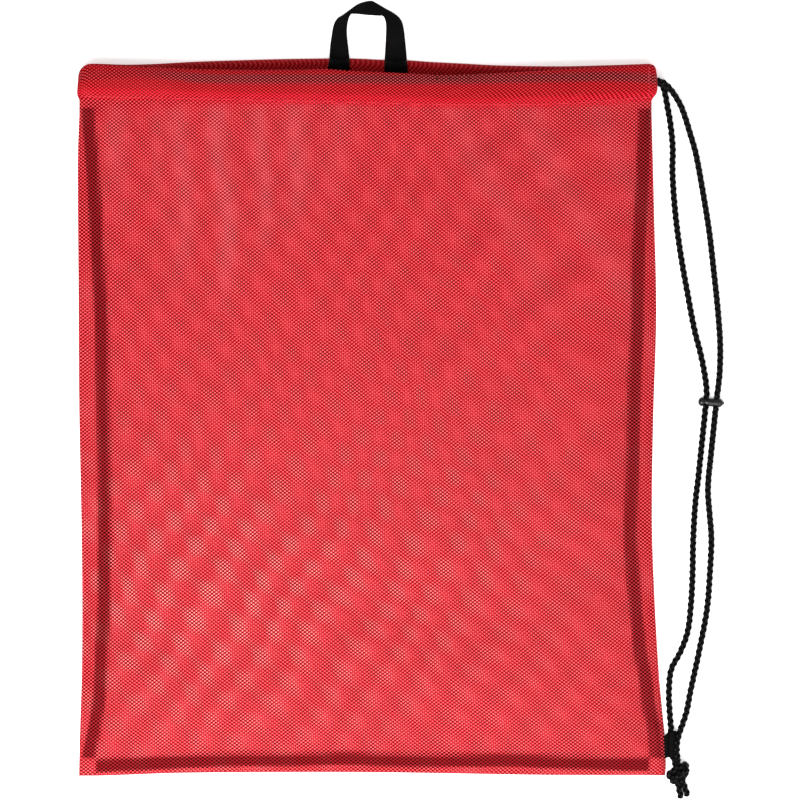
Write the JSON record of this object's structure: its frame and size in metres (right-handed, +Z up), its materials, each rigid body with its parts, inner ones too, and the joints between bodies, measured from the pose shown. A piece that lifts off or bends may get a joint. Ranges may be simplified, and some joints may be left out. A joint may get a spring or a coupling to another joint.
{
  "type": "drawstring bag",
  "caption": "Flat mesh drawstring sling bag with a doubled shoulder cord down one side, a sliding cord lock, a hanging loop and a knotted cord tab.",
  "frame": {"origin": "middle of the bag on the flat underside of the back panel, which lies on the floor", "axes": "+Z up out of the front panel, +Y towards the bag's mouth, +X towards the side that the cord leaves"},
  "size_m": [0.547, 0.674, 0.0261],
  "materials": {
    "red_mesh": "knitted polyester mesh with small staggered holes, slightly shiny",
    "binding_tape": "matt woven binding tape",
    "black_webbing": "flat woven webbing, matt",
    "black_braid": "round braided cord, slightly shiny",
    "lock_plastic": "moulded plastic, satin",
    "red_thread": "sewing thread"
  },
  "bodies": {
    "bag": {"front_panel": "red_mesh", "back_panel": "red_mesh", "front_hem": "red_mesh", "back_hem": "red_mesh", "hem_left_fold": "red_mesh", "left_binding": "binding_tape", "right_binding": "binding_tape", "bottom_binding": "binding_tape", "front_hem_thread": "red_thread", "back_hem_thread": "red_thread", "handle_left_end": "black_webbing", "handle_right_end": "black_webbing", "handle_left_bartack": "black_webbing", "handle_right_bartack": "black_webbing", "side_tab_end": "black_webbing", "cord_in_hem": "black_braid", "cord_left_upper": "black_braid", "cord_left_lower": "black_braid", "cord_right_upper": "black_braid", "cord_right_lower": "black_braid"},
    "lock": {"cord_lock": "lock_plastic"},
    "handle": {"handle_loop": "black_webbing"},
    "tab": {"side_tab": "black_webbing", "cord_knot": "black_braid", "cord_left_tail": "black_braid", "cord_right_tail": "black_braid"}
  },
  "joints": [
    {"name": "cord_lock_slide", "type": "slide", "parent": "bag", "child": "lock", "axis": [-0.1025, -0.9947, 0], "range_m": [0, 0.06]},
    {"name": "handle_hinge", "type": "hinge", "parent": "bag", "child": "handle", "pos_m": [0, 0.3068, 0.002], "axis": [1, 0, 0], "range_deg": [0, 90]},
    {"name": "side_tab_hinge", "type": "hinge", "parent": "bag", "child": "tab", "pos_m": [0.2524, -0.2739, 0.0033], "axis": [0, 1, 0], "range_deg": [-75, 0], "deforming": ["cord_left_lower", "cord_right_lower"]}
  ]
}
